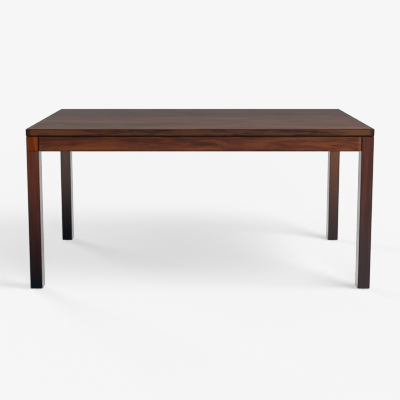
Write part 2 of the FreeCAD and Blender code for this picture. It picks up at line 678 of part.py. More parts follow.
clip_places = [(x, f"-({FRAME_Y} - ApronThick)", FRAME_TOP, about_z(0)) for x in LONG_CLIPS_X]
clip_places += [(x, f"({FRAME_Y} - ApronThick)", FRAME_TOP, about_z(180)) for x in LONG_CLIPS_X]
clip_places += [(f"-({FRAME_X} - ApronThick)", y, FRAME_TOP, about_z(270)) for y in SHORT_CLIPS_Y]
clip_places += [(f"({FRAME_X} - ApronThick)", y, FRAME_TOP, about_z(90)) for y in SHORT_CLIPS_Y]
foot_places = [(f"{side_x} * {LEG_X}", f"{side_y} * {LEG_Y}") for _, side_x, side_y, _ in CORNERS]

bolt_hole, nut_hole = "BoltDiameter + 2 * ClearGap", "BoltDiameter + 2 * ThreadGap"
washer = make_ring("hanger_washer", "WasherDiameter", bolt_hole, PLATE_FACE, WASHER_FACE)
nut = make_ring("hanger_nut", "NutAcross", nut_hole, WASHER_FACE, NUT_FACE)
plate_screw = make_screw("corner_plate_screw", "(PlateThick + ApronThick - ApronCover)")
clip_screw = make_screw("top_clip_screw", "(ClipThick + TopThickness - TopCover)")
rail_screw = make_screw("cross_rail_screw", "(RailGrip + TopThickness - TopCover)")
keep_copies("hanger_bolts", make_hanger_bolt(), bolt_places)
keep_copies("hanger_washers", washer, bolt_places)
keep_copies("hanger_nuts", nut, bolt_places)
keep_copies("corner_plate_screws", plate_screw, plate_screw_places)
keep_copies("top_clips", make_clip(), clip_places)
keep_copies("top_clip_screws", clip_screw, [(x, y, f"{FRAME_TOP} - ClipThick") for x, y in clip_screws])
keep_copies("cross_rail_screws", rail_screw, [(x, y, f"{FRAME_TOP} - RailGrip") for x, y in rail_screws])
keep_copies("foot_inserts", make_insert(), foot_places)

# Every piece has to be whole before any is written.
doc.recompute()
for thing in doc.Objects:
    if "Invalid" in thing.State or "Error" in thing.State:
        raise ValueError(f"{thing.Label} failed: {thing.State}")
for node in nodes:
    if node.Shape.isNull() or not node.Shape.isValid():
        raise ValueError(f"{node.Label} has no valid shape")

os.makedirs("parts", exist_ok=True)
for node in nodes:
    node.Shape.exportStep(f"parts/{node.Label}.step")
    print(f"{node.Label}: {len(node.Shape.Solids)} solids, {node.Shape.Volume:.0f} mm3")
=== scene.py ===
import math

import bpy
from mathutils import Matrix, Vector


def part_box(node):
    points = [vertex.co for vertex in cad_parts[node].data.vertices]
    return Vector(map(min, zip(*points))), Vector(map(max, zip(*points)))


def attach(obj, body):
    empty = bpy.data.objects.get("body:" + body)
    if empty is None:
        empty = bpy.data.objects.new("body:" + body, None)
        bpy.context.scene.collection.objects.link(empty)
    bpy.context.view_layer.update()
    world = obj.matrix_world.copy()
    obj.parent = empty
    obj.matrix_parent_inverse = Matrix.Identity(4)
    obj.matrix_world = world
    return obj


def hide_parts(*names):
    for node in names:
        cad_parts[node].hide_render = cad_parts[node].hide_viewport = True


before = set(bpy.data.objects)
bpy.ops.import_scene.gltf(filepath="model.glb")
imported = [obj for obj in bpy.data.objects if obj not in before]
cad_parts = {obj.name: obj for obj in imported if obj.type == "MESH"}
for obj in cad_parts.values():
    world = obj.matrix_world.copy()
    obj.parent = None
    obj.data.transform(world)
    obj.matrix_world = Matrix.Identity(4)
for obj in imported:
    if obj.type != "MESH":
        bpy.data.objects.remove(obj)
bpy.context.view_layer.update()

scene = bpy.context.scene
bpy.ops.object.select_all(action="DESELECT")


# Table top: boards of dark-stained hardwood with the grain along the table, glued edge to edge
# with tongues and grooves, planed flush, eased all round and rubbed to a dull satin. Light is
# painted into its colour towards the front, and shade towards the rear, at its ends and at the
# corners of the long edges, which are darker along their middle.

TOP_BOARDS = [f"top_board_{number}" for number in range(1, 8)]
first_low, first_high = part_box(TOP_BOARDS[0])
TOP_FRONT, TOP_REAR = first_low.y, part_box(TOP_BOARDS[-1])[1].y
TOP_END, TOP_UNDERSIDE = first_high.x, first_low.z
TOP_MIDDLE = (first_low.z + first_high.z) / 2
BOARD_WIDTH = (TOP_REAR - TOP_FRONT) / len(TOP_BOARDS)

# Ripples a metre in the figure of the wood, along the grain and across it.
BANDS, STREAKS = (0.9, 13, 13), (4.5, 70, 70)
LINES, PORES = (2, 520, 520), (60, 1500, 1500)
EDGE_CURLS = (9, 60, 60)

# The rings of a wave texture lie WAVE_LENGTH metres apart at a scale of 1.
WAVE_LENGTH = math.pi / 10
RING_SPACING, RING_STRETCH = 0.0065, 0.06

BAND_SHARE, RING_SHARE = 0.75, 0.16
MOST_NOISE = (0.3, 0.7)
LINE_CONTRAST, LINE_RELIEF = (0.86, 1.1), 0.3
PORE_OPENS = (0.66, 0.74)
# Shade painted on the eased edges fades out between these measures of how squarely a face points.
EASED, EDGE_SHADE_SHARE = (0.965, 0.998), 0.92
RELIEF_DEPTH, RELIEF_STRENGTH = 0.0004, 0.12


def shade(red, green, blue):
    """A colour as a display shows it, from 0 to 255, in the shader's linear units."""
    levels = [level / 255 for level in (red, green, blue)]
    return [x / 12.92 if x <= 0.04045 else ((x + 0.055) / 1.055) ** 2.4 for x in levels] + [1]


def start_finish(name):
    """A new material, its node tree and its shader."""
    material = bpy.data.materials.new(name)
    material.use_nodes = True
    tree = material.node_tree
    return material, tree, tree.nodes["Principled BSDF"]


def add_node(tree, kind, feeds, **settings):
    """A shader node whose sockets are fed from other nodes or set to values."""
    node = tree.nodes.new("ShaderNode" + kind)
    for name, setting in settings.items():
        setattr(node, name, setting)
    for socket, source in feeds.items():
        if isinstance(source, bpy.types.NodeSocket):
            tree.links.new(source, node.inputs[socket])
        else:
            node.inputs[socket].default_value = source
    return node


def work_out(tree, operation, *terms):
    """The result of one step of arithmetic."""
    return add_node(tree, "Math", dict(enumerate(terms)), operation=operation).outputs[0]


def spread(tree, source, low, high, new_low=0.0, new_high=1.0):
    """A value between two limits, moved smoothly to two others."""
    feeds = {"Value": source, "From Min": low, "From Max": high, "To Min": new_low, "To Max": new_high}
    return add_node(tree, "MapRange", feeds, interpolation_type="SMOOTHSTEP").outputs[0]


def blend_colours(tree, share, first, second, blend="MIX"):
    """The first colour with a share of the second laid over it."""
    feeds = {0: share, 6: first, 7: second}
    return add_node(tree, "Mix", feeds, data_type="RGBA", blend_type=blend).outputs[2]


def figure(tree, place, ripples, detail, warp=0.0):
    """Noise with so many ripples a metre each way."""
    drawn = add_node(tree, "VectorMath", {0: place, 1: ripples}, operation="MULTIPLY").outputs[0]
    feeds = {"Vector": drawn, "Scale": 1.0, "Detail": detail, "Roughness": 0.6, "Distortion": warp}
    return add_node(tree, "TexNoise", feeds).outputs[0]


def growth_rings(tree, place):
    """Rings round the log's heart, wandering slowly along it."""
    stretch = (RING_STRETCH, 1, 1)
    drawn = add_node(tree, "VectorMath", {0: place, 1: stretch}, operation="MULTIPLY").outputs[0]
    wave = {"Vector": drawn, "Scale": WAVE_LENGTH / RING_SPACING, "Distortion": 5.0}
    wander = {"Detail": 2.0, "Detail Scale": 0.3, "Detail Roughness": 0.5}
    return add_node(tree, "TexWave", wave | wander, wave_type="RINGS", wave_profile="SAW").outputs[1]


def lay_stain(tree, amount, stops):
    """Colours along a scale from 0 to 1."""
    scale = add_node(tree, "ValToRGB", {"Fac": amount})
    marks = scale.color_ramp.elements
    while len(marks) < len(stops):
        marks.new(0.5)
    for mark, (position, colour) in zip(marks, stops):
        mark.position = position
        mark.color = colour
    return scale.outputs[0]


def part_space(tree):
    """The place of a point on its own piece, which is its place on the table."""
    return add_node(tree, "TexCoord", {}).outputs["Object"]


def split(tree, vector):
    """The three parts of a place, a direction or a colour."""
    return add_node(tree, "SeparateXYZ", {"Vector": vector}).outputs


def join_up(tree, x, y, z):
    """A place from its three parts."""
    return add_node(tree, "CombineXYZ", {"X": x, "Y": y, "Z": z}).outputs[0]


def facing(tree):
    """How squarely the surface faces along X, along Y and along Z."""
    normal = add_node(tree, "NewGeometry", {}).outputs["True Normal"]
    return split(tree, add_node(tree, "VectorMath", {0: normal}, operation="ABSOLUTE").outputs[0])


def stain_wood(tree, place, log, stops, tone=0.0):
    """Stained hardwood: its colour, its streaks and its relief of growth lines and open pores."""
    bands = figure(tree, place, BANDS, detail=2, warp=0.3)
    streaks = figure(tree, place, STREAKS, detail=6, warp=0.8)
    lines = figure(tree, place, LINES, detail=3)
    pores = figure(tree, place, PORES, detail=1)
    amount = work_out(tree, "MULTIPLY_ADD", bands, BAND_SHARE, -(BAND_SHARE + RING_SHARE) / 2)
    amount = work_out(tree, "MULTIPLY_ADD", growth_rings(tree, log), RING_SHARE, amount)
    amount = work_out(tree, "ADD", work_out(tree, "ADD", amount, streaks), tone)
    colour = lay_stain(tree, amount, stops)
    fine_lines = spread(tree, lines, *MOST_NOISE, *LINE_CONTRAST)
    colour = blend_colours(tree, 1.0, colour, fine_lines, "MULTIPLY")
    open_pores = spread(tree, pores, *PORE_OPENS)
    colour = blend_colours(tree, open_pores, colour, shade(38, 20, 14))
    relief = work_out(tree, "SUBTRACT", work_out(tree, "MULTIPLY", lines, LINE_RELIEF), open_pores)
    return colour, streaks, relief


def finish_wood(tree, shader, colour, streaks, relief, dull, bright, gloss):
    """Paints shade on the eased edges, the groove among them, and gives sheen and relief."""
    x, y, z = facing(tree)
    squarely = work_out(tree, "MAXIMUM", work_out(tree, "MAXIMUM", x, y), z)
    # Painted shade: where a face turns on an eased edge, its colour goes almost black, and rougher.
    edge_shade = spread(tree, squarely, *EASED, EDGE_SHADE_SHARE, 0)
    colour = blend_colours(tree, edge_shade, colour, shade(14, 6, 5))
    tree.links.new(colour, shader.inputs["Base Color"])
    sheen = work_out(tree, "MAXIMUM", edge_shade, spread(tree, streaks, *MOST_NOISE, dull, bright))
    tree.links.new(sheen, shader.inputs["Roughness"])
    grain = {"Height": relief, "Strength": RELIEF_STRENGTH, "Distance": RELIEF_DEPTH}
    tree.links.new(add_node(tree, "Bump", grain).outputs[0], shader.inputs["Normal"])
    shader.inputs["Specular IOR Level"].default_value = gloss


def dress(finish, *names):
    """Gives a finish to pieces of the frame."""
    for name in names:
        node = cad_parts[name]
        node.data.materials.clear()
        node.data.materials.append(finish)


TOP_STAIN = [
    (0.25, shade(46, 24, 17)),
    (0.45, shade(66, 37, 26)),
    (0.62, shade(80, 47, 32)),
    (0.85, shade(104, 62, 36)),
]
BOARD_SLIDE, BOARD_TONE = 16.6, 0.08
HEART_LEAN, HEART_NEAR, HEART_FAR = 0.03, 0.03, 0.09
FACE_ON, END_GRAIN_SHARE = (0.6, 0.95), 0.45
CURL_NOISE, CURL_TONE = (0.35, 0.65), 0.35
# Painted light towards the front; painted shade at the corners, the ends and the rear.
LIT_FRONT, FRONT_LIGHT = (TOP_FRONT, -0.05), 0.16
PALE_RIGHT, RIGHT_TONE = (0.05, 0.6), 0.2
EDGE_MIDDLE_FADE, EDGE_DARKENING = (0.45, 0.72), (0.7, 0.42)
DARK_CORNERS = (TOP_END - 0.036, TOP_END - 0.01)
DARK_ENDS, END_SHADE = (TOP_END - 0.09, TOP_END), 0.35
DARK_REAR, REAR_SHADE = (-0.1, TOP_REAR), 0.7

top_finish, tree, shader = start_finish("top_wood")
x, y, z = split(tree, part_space(tree))
from_front = work_out(tree, "DIVIDE", work_out(tree, "SUBTRACT", y, TOP_FRONT), BOARD_WIDTH)
board = work_out(tree, "FLOOR", from_front)
chance = add_node(tree, "TexWhiteNoise", {"W": board}, noise_dimensions="1D").outputs["Color"]
tone, lean, depth = split(tree, chance)
slide = work_out(tree, "MULTIPLY_ADD", board, BOARD_SLIDE, x)
across = work_out(tree, "SUBTRACT", work_out(tree, "FRACT", from_front), 0.5)
leaning = work_out(tree, "MULTIPLY", x, spread(tree, lean, 0, 1, -HEART_LEAN, HEART_LEAN))
heart_y = work_out(tree, "MULTIPLY_ADD", across, BOARD_WIDTH, leaning)
below = spread(tree, depth, 0, 1, HEART_NEAR - TOP_MIDDLE, HEART_FAR - TOP_MIDDLE)
heart_z = work_out(tree, "ADD", z, below)
place, log = join_up(tree, slide, y, z), join_up(tree, slide, heart_y, heart_z)

tone = spread(tree, tone, 0, 1, -BOARD_TONE, BOARD_TONE)
# Painted light: lighter on the front half of the top and on its front edge.
tone = work_out(tree, "ADD", tone, spread(tree, y, *LIT_FRONT, FRONT_LIGHT, 0))
edge_grain = spread(tree, facing(tree)[1], *FACE_ON)
curls = figure(tree, place, EDGE_CURLS, detail=3, warp=1.0)
curls = spread(tree, curls, *CURL_NOISE, -CURL_TONE, CURL_TONE)
curls = work_out(tree, "ADD", curls, spread(tree, x, *PALE_RIGHT, 0, RIGHT_TONE))
tone = work_out(tree, "MULTIPLY_ADD", edge_grain, curls, tone)
colour, streaks, relief = stain_wood(tree, place, log, TOP_STAIN, tone)

end_grain = spread(tree, facing(tree)[0], *FACE_ON, 0, END_GRAIN_SHARE)
colour = blend_colours(tree, end_grain, colour, shade(40, 20, 14))
# Painted shade at the corners of the long edges, at the ends and towards the rear, over the darker
# middle of the long edges.
from_middle = work_out(tree, "ABSOLUTE", x)
middle_dark_edge = spread(tree, from_middle, *EDGE_MIDDLE_FADE, *EDGE_DARKENING)
dark_edge = work_out(tree, "MAXIMUM", middle_dark_edge, spread(tree, from_middle, *DARK_CORNERS))
shading = work_out(tree, "MULTIPLY", edge_grain, dark_edge)
shading = work_out(tree, "MAXIMUM", shading, spread(tree, from_middle, *DARK_ENDS, 0, END_SHADE))
shading = work_out(tree, "MAXIMUM", shading, spread(tree, y, *DARK_REAR, 0, REAR_SHADE))
colour = blend_colours(tree, shading, colour, shade(130, 114, 110), "MULTIPLY")
finish_wood(tree, shader, colour, streaks, relief, dull=0.56, bright=0.44, gloss=0.07)
dress(top_finish, *TOP_BOARDS)


# Legs: square posts of the same hardwood with the grain upright, eased along their edges, bevelled
# at the floor and coated with a lacquer that gleams at a low angle. The head of the front left leg is
# orange. Shade is painted into the colour towards the floor, near black on the left pair and grey
# with a painted reflection on the right pair, the right pair is painted darker all over, and a pale
# painted reflection lies on the rear pair.

CORNERS = ("front_left", "front_right", "rear_left", "rear_right")
leg_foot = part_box("leg_front_left")[0].z
leg_axes = {corner: sum(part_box("leg_" + corner), Vector()) / 2 for corner in CORNERS}
apron_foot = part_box("apron_front")[0].z
GRAIN_TURNS = {"X": (0, 0, 0), "Y": (0, 0, -math.pi / 2), "Z": (0, math.pi / 2, 0)}
LEG_SLIDE = 2.3
LEG_STAIN = [
    (0.25, shade(64, 33, 24)),
    (0.45, shade(92, 48, 34)),
    (0.65, shade(108, 57, 38)),
    (0.85, shade(126, 68, 38)),
]
HEAD_STAIN = [
    (0.38, shade(86, 30, 3)),
    (0.5, shade(112, 44, 2)),
    (0.62, shade(130, 57, 2)),
]
# Painted shade darkens the right pair, and a painted pale reflection lies on the rear pair.
HALVES_MEET, LEFT_AND_RIGHT_SHADE = (-0.1, 0.1), (0.02, -0.18)
HEAD_STARTS, HEAD_SHARE = (apron_foot, apron_foot + 0.006), 0.88
HEAD_LINE, LINE_SHARE = (0.001, 0.005), 0.6
REAR_FADES, FADED_SHARE = (leg_axes["rear_left"].y - 0.02, TOP_REAR), 0.2
LEFT_AND_RIGHT_HAZE = (0.7, 0.5)
SHADE_FALL, REAR_LEFT_FALL = 1.25, 0.4
LOW_ANGLE, GLEAM, GLEAM_ROUGHNESS = (0.5, 0.8), 0.55, 0.12


def wood_space(tree, grain, slide=0.0):
    """Places turned so that the grain runs along the first axis, and slid along it."""
    feeds = {"Vector": part_space(tree), "Location": (slide, 0, 0), "Rotation": GRAIN_TURNS[grain]}
    return add_node(tree, "Mapping", feeds).outputs[0]


leg_finish, tree, shader = start_finish("leg_wood")
x, y, z = split(tree, part_space(tree))
left = spread(tree, x, *HALVES_MEET, 1, 0)
front = spread(tree, y, *HALVES_MEET, 1, 0)
front_left = work_out(tree, "MULTIPLY", left, front)
rear_left = work_out(tree, "SUBTRACT", left, front_left)
place = wood_space(tree, "Z", LEG_SLIDE)
# Painted shade: the right pair is coloured darker than the left.
tone = spread(tree, x, *HALVES_MEET, *LEFT_AND_RIGHT_SHADE)
colour, streaks, relief = stain_wood(tree, place, place, LEG_STAIN, tone)

head = work_out(tree, "MULTIPLY", front_left, spread(tree, z, *HEAD_STARTS, 0, HEAD_SHARE))
colour = blend_colours(tree, head, colour, lay_stain(tree, streaks, HEAD_STAIN))
from_head = work_out(tree, "ABSOLUTE", work_out(tree, "SUBTRACT", z, apron_foot))
head_line = work_out(tree, "MULTIPLY", front_left, spread(tree, from_head, *HEAD_LINE, LINE_SHARE, 0))
colour = blend_colours(tree, head_line, colour, shade(52, 22, 10))

# Painted reflection: a pale haze on the rear pair, fading towards the back, most on the left.
rear = work_out(tree, "SUBTRACT", 1, front)
pale = work_out(tree, "MULTIPLY", rear, spread(tree, y, *REAR_FADES, 1, FADED_SHARE))
pale = work_out(tree, "MULTIPLY", pale, spread(tree, x, *HALVES_MEET, *LEFT_AND_RIGHT_HAZE))
haze_colour = blend_colours(tree, left, shade(144, 98, 70), shade(147, 124, 111))
colour = blend_colours(tree, pale, colour, haze_colour)

# Painted shade towards the floor: near black on the left pair, a grey painted reflection on the right.
rise = add_node(tree, "MapRange", {"Value": z, "From Min": leg_foot, "From Max": apron_foot}).outputs[0]
fall = work_out(tree, "MULTIPLY_ADD", rear_left, REAR_LEFT_FALL, SHADE_FALL)
foot_shade_colour = blend_colours(tree, left, shade(51, 44, 46), shade(1, 9, 18))
colour = blend_colours(tree, work_out(tree, "POWER", rise, fall), foot_shade_colour, colour)
finish_wood(tree, shader, colour, streaks, relief, dull=0.22, bright=0.14, gloss=0.045)
aslant = add_node(tree, "LayerWeight", {"Blend": 0.5}).outputs["Facing"]
tree.links.new(spread(tree, aslant, *LOW_ANGLE, 0, GLEAM), shader.inputs["Coat Weight"])
shader.inputs["Coat Roughness"].default_value = GLEAM_ROUGHNESS
dress(leg_finish, *("leg_" + corner for corner in CORNERS))


# Aprons: boards on edge between the legs, flush with their outer faces, with the grain along them.
# Orange heartwood shows in streaks, most towards one end, where the long pair carries a painted
# pale highlight, and shade is painted along their upper part, under the top.

APRON_STAIN = [
    (0.3, shade(56, 29, 24)),
    (0.44, shade(80, 42, 32)),
    (0.58, shade(97, 52, 35)),
    (0.74, shade(120, 67, 35)),
]
APRON_SLIDE = 13.9
APRON_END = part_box("apron_front")[1].x
APRON_HEART, HEART_NOISE = (7, 58, 58), (0.47, 0.6)
HEART_GROWS, HEART_SHARES = (-0.1, 0.65), (0.5, 0.75)
# A painted highlight near the end, and painted shade under the top.
HIGHLIGHT_END, HIGHLIGHT_SHARE = (APRON_END - 0.02, APRON_END - 0.006), 0.4
UNDER_TOP_SHADE = 0.4
for grain, sides in (("X", ("front", "rear")), ("Y", ("left", "right"))):
    apron_finish, tree, shader = start_finish("apron_wood_" + grain.lower())
    place = wood_space(tree, grain, APRON_SLIDE)
    colour, streaks, relief = stain_wood(tree, place, place, APRON_STAIN)
    along, _, up = split(tree, wood_space(tree, grain))
    heart = spread(tree, figure(tree, place, APRON_HEART, detail=4, warp=1.0), *HEART_NOISE)
    heart = work_out(tree, "MULTIPLY", heart, spread(tree, along, *HEART_GROWS, *HEART_SHARES))
    colour = blend_colours(tree, heart, colour, shade(116, 63, 30))
    # Painted shade: the aprons darken towards the top, under the slab.
    shade_under_top = spread(tree, up, apron_foot, TOP_UNDERSIDE, 0, UNDER_TOP_SHADE)
    colour = blend_colours(tree, shade_under_top, colour, shade(52, 27, 20))
    # Painted highlight: a pale strip near the right-hand end of the long aprons.
    end_highlight = spread(tree, along, *HIGHLIGHT_END, 0, HIGHLIGHT_SHARE)
    colour = blend_colours(tree, end_highlight, colour, shade(132, 88, 58))
    finish_wood(tree, shader, colour, streaks, relief, dull=0.36, bright=0.26, gloss=0.025)
    dress(apron_finish, *("apron_" + side for side in sides))


# Cross rails: two bearers of the same hardwood under the top, tenoned into the long aprons, with
# slots for the screws into the top. Stained like the rest, and only sealed.

RAIL_STAIN = [
    (0.25, shade(72, 42, 30)),
    (0.5, shade(98, 60, 42)),
    (0.8, shade(120, 78, 54)),
]
rail_finish, tree, shader = start_finish("rail_wood")
place = wood_space(tree, "Y")
colour, streaks, relief = stain_wood(tree, place, place, RAIL_STAIN)
finish_wood(tree, shader, colour, streaks, relief, dull=0.7, bright=0.55, gloss=0.3)
dress(rail_finish, "cross_rail_left", "cross_rail_right")


# Corner plates: folded from zinc-coated sheet, with lips that hook into saw cuts in the aprons, so
# that the hanger bolts pull the legs against the apron ends.

ZINC_PATCHES, ZINC_SCRATCHES = (90, 90, 90), (60, 2600, 900)
ZINC_WEAR, CRYSTAL_SHARE, SCRATCH_SHARE = (0.4, 0.9), 0.2, 0.35
SCRATCH_DEPTH, SCRATCH_STRENGTH = 0.0002, 0.08


def coat_with_zinc(name, pale, crystals, dull, bright):
    """Zinc on steel: small crystals, duller patches and fine scratches."""
    finish, tree, shader = start_finish(name)
    place = part_space(tree)
    chance = add_node(tree, "TexVoronoi", {"Vector": place, "Scale": crystals}).outputs["Color"]
    crystal, _, _ = split(tree, chance)
    patches = figure(tree, place, ZINC_PATCHES, detail=4)
    scratches = figure(tree, place, ZINC_SCRATCHES, detail=2, warp=0.2)
    colour = blend_colours(tree, spread(tree, patches, *MOST_NOISE), shade(150, 150, 148), pale)
    colour = blend_colours(tree, CRYSTAL_SHARE, colour, crystal, "OVERLAY")
    tree.links.new(colour, shader.inputs["Base Color"])
    wear = work_out(tree, "MULTIPLY_ADD", scratches, SCRATCH_SHARE, patches)
    tree.links.new(spread(tree, wear, *ZINC_WEAR, bright, dull), shader.inputs["Roughness"])
    scored = {"Height": scratches, "Strength": SCRATCH_STRENGTH, "Distance": SCRATCH_DEPTH}
    tree.links.new(add_node(tree, "Bump", scored).outputs[0], shader.inputs["Normal"])
    shader.inputs["Metallic"].default_value = 1
    return finish


sheet_zinc = coat_with_zinc("sheet_zinc", shade(204, 205, 204), crystals=260, dull=0.5, bright=0.3)
dress(sheet_zinc, *("corner_plate_" + corner for corner in CORNERS))


# Hanger bolts: a wood thread screwed into the leg's flat and a machine thread through the corner
# plate, each with a washer and a chamfered nut. Rolled from steel rod and zinc-plated.

bolt_zinc = coat_with_zinc("bolt_zinc", shade(212, 206, 188), crystals=900, dull=0.42, bright=0.22)
dress(bolt_zinc, "hanger_washers")
TOUCHING = 1e-6
ROUND_SIDES, SMOOTH_ANGLE = 24, math.radians(35)

# Heights along a bolt are counted from the flat on the leg, towards the middle of the table.
BOLT_RADIUS = 0.004
BOLT_TIP, BOLT_POINT = -0.0419, 0.006
BOLT_END, BOLT_BEVEL = 0.0528, 0.001
SHANK_RADIUS, SHANK_FOOT, SHANK_TOP = 0.0036, -0.006, 0.029
WOOD_PITCH, WOOD_DEPTH = 0.003, 0.001
FINE_PITCH, FINE_DEPTH = 0.00125, 0.0007
TOOTH_CREST, THREAD_LAP = (0.42, 0.58), 0.002
NUT_ACROSS, NUT_FOOT, NUT_TOP = 0.013, 0.0423, 0.0488
NUT_BORE, NUT_MOUTH = 0.0041, 0.0048
CHAMFER_START, CHAMFER_RISE = 0.48, 0.432
BOLT_RISE = 0.017
LEG_FLAT = 0.02


def join_seams():
    """Merges what touches in the piece that is being edited, and turns its faces outwards."""
    bpy.ops.mesh.select_all(action="SELECT")
    bpy.ops.mesh.remove_doubles(threshold=TOUCHING)
    bpy.ops.mesh.normals_make_consistent(inside=False)


def draw_line(points):
    """A new piece that is only a line of edges through the points."""
    bpy.ops.mesh.primitive_plane_add()
    piece = bpy.context.object
    bpy.ops.object.mode_set(mode="EDIT")
    bpy.ops.mesh.merge(type="CENTER")
    bpy.ops.transform.translate(value=points[0])
    for before, after in zip(points, points[1:]):
        step = Vector(after) - Vector(before)
        bpy.ops.mesh.extrude_region_move(TRANSFORM_OT_translate={"value": step})
    bpy.ops.object.mode_set(mode="OBJECT")
    return piece


def turn(profile):
    """A piece turned about Z from a profile of radius and height pairs."""
    piece = draw_line([(radius, 0, height) for radius, height in profile])
    bpy.ops.object.mode_set(mode="EDIT")
    bpy.ops.mesh.select_all(action="SELECT")
    bpy.ops.mesh.spin(steps=ROUND_SIDES, angle=2 * math.pi, center=(0, 0, 0), axis=(0, 0, 1))
    join_seams()
    bpy.ops.object.mode_set(mode="OBJECT")
    return piece


def wind_thread(radius, depth, pitch, foot, top):
    """A thread along Z: one tooth wound upwards, trimmed flat at both ends and closed."""
    root, start = radius - depth, foot - 1.5 * pitch
    tooth = [(root, 0)] + [(radius, rise) for rise in TOOTH_CREST] + [(root, 1)]
    piece = draw_line([(reach, 0, start + rise * pitch) for reach, rise in tooth])
    winding = piece.modifiers.new("winding", "SCREW")
    winding.screw_offset = pitch
    winding.iterations = math.ceil((top - start) / pitch) + 1
    winding.steps = winding.render_steps = ROUND_SIDES
    bpy.ops.object.modifier_apply(modifier=winding.name)
    bpy.ops.object.mode_set(mode="EDIT")
    join_seams()
    for level, trim in ((foot, {"clear_inner": True}), (top, {"clear_outer": True})):
        bpy.ops.mesh.select_all(action="SELECT")
        plane = {"plane_co": (0, 0, level), "plane_no": (0, 0, 1), "threshold": TOUCHING}
        bpy.ops.mesh.bisect(**plane, use_fill=True, **trim)
    join_seams()
    bpy.ops.object.mode_set(mode="OBJECT")
    return piece


def combine(piece, operation, other):
    """Joins, cuts or trims a piece with another, which is used up."""
    bpy.context.view_layer.objects.active = piece
    modifier = piece.modifiers.new("combine", "BOOLEAN")
    modifier.operation = operation
    modifier.object = other
    bpy.ops.object.modifier_apply(modifier=modifier.name)
    bpy.data.objects.remove(other)


def hexagon(across, foot, top):
    """A hexagonal bar along Z with the corners of both ends turned off."""
    corner, middle = across / math.sqrt(3), (0, 0, (foot + top) / 2)
    bpy.ops.mesh.primitive_cylinder_add(vertices=6, radius=corner, depth=top - foot, location=middle)
    piece = bpy.context.object
    bpy.ops.object.transform_apply()
    flat, rise = CHAMFER_START * across, CHAMFER_RISE * across
    profile = [(0, foot), (flat, foot), (across, foot + rise)]
    profile += [(across, top - rise), (flat, top), (0, top)]
    combine(piece, "INTERSECT", turn(profile))
    return piece


def aim(point, direction):
    """A place at a point, with Z turned to a direction."""
    return Matrix.Translation(point) @ Vector(direction).to_track_quat("Z", "Y").to_matrix().to_4x4()


def set_out(pattern, name, places):
    """Copies of a pattern piece at all its places, as one group."""
    bpy.ops.object.select_all(action="DESELECT")
    for place in places:
        piece = pattern.copy()
        piece.data = pattern.data.copy()
        scene.collection.objects.link(piece)
        piece.matrix_world = place
        piece.select_set(True)
        bpy.context.view_layer.objects.active = piece
    bpy.ops.object.transform_apply()
    bpy.ops.object.join()
    bpy.ops.object.shade_smooth_by_angle(angle=SMOOTH_ANGLE)
    group = bpy.context.object
    group.name = name
    bpy.ops.object.select_all(action="DESELECT")
    return group


def fit(piece, finish, body, node):
    """Finishes a new piece, ties it to its body and lets it stand for its node."""
    piece.data.materials.clear()
    piece.data.materials.append(finish)
    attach(piece, body)
    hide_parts(node)


frame_middle = (apron_foot + TOP_UNDERSIDE) / 2
bolt_levels = (frame_middle - BOLT_RISE, frame_middle + BOLT_RISE)
bolt_places = []
for axis in leg_axes.values():
    inward = Vector((-math.copysign(1, axis.x), -math.copysign(1, axis.y), 0))
    for level in bolt_levels:
        bolt_places.append(aim(Vector((axis.x, axis.y, level)) + inward * LEG_FLAT, inward))

bolt = wind_thread(BOLT_RADIUS, WOOD_DEPTH, WOOD_PITCH, BOLT_TIP - WOOD_PITCH, SHANK_FOOT + THREAD_LAP)
shank = [(0, SHANK_FOOT), (SHANK_RADIUS, SHANK_FOOT), (SHANK_RADIUS, SHANK_TOP), (0, SHANK_TOP)]
combine(bolt, "UNION", turn(shank))
machine_foot, machine_top = SHANK_TOP - THREAD_LAP, BOLT_END + FINE_PITCH
combine(bolt, "UNION", wind_thread(BOLT_RADIUS, FINE_DEPTH, FINE_PITCH, machine_foot, machine_top))
blank = [(0, BOLT_TIP), (BOLT_RADIUS, BOLT_TIP + BOLT_POINT), (BOLT_RADIUS, BOLT_END - BOLT_BEVEL)]
blank += [(BOLT_RADIUS - BOLT_BEVEL, BOLT_END), (0, BOLT_END)]
combine(bolt, "INTERSECT", turn(blank))
bolts = set_out(bolt, "threaded_hanger_bolts", bolt_places)
bpy.data.objects.remove(bolt)
fit(bolts, bolt_zinc, "table", "hanger_bolts")

nut = hexagon(NUT_ACROSS, NUT_FOOT, NUT_TOP)
hole = [(0, NUT_FOOT), (NUT_MOUTH, NUT_FOOT), (NUT_BORE, NUT_FOOT + NUT_MOUTH - NUT_BORE)]
hole += [(NUT_BORE, NUT_TOP + NUT_BORE - NUT_MOUTH), (NUT_MOUTH, NUT_TOP), (0, NUT_TOP)]
combine(nut, "DIFFERENCE", turn(hole))
nuts = set_out(nut, "chamfered_hanger_nuts", bolt_places)
bpy.data.objects.remove(nut)
fit(nuts, bolt_zinc, "table", "hanger_nuts")


# Top clips: strips of zinc-coated sheet bent to a Z, hooked into the aprons' grooves and screwed up
# into the top, which they hold down and let swell.

CLIP_THICK, CLIP_WIDTH = 0.002, 0.018
CLIP_BEND, CLIP_BURR = 0.0018, 0.0003
CLIP_HOOK, CLIP_STEP, CLIP_REACH = -0.008, 0.006, 0.029
CLIP_UPPER, CLIP_DROP = -CLIP_THICK / 2, 0.01
CLIP_LOWER = CLIP_UPPER - CLIP_DROP
CLIP_HOLE, CLIP_BORE = (0, 0.017, -CLIP_THICK), 0.0023
CLIP_STATIONS = (0.12, 0.36)
PUNCH_REACH = 0.004
long_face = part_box("apron_rear")[0].y
short_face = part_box("apron_right")[0].x

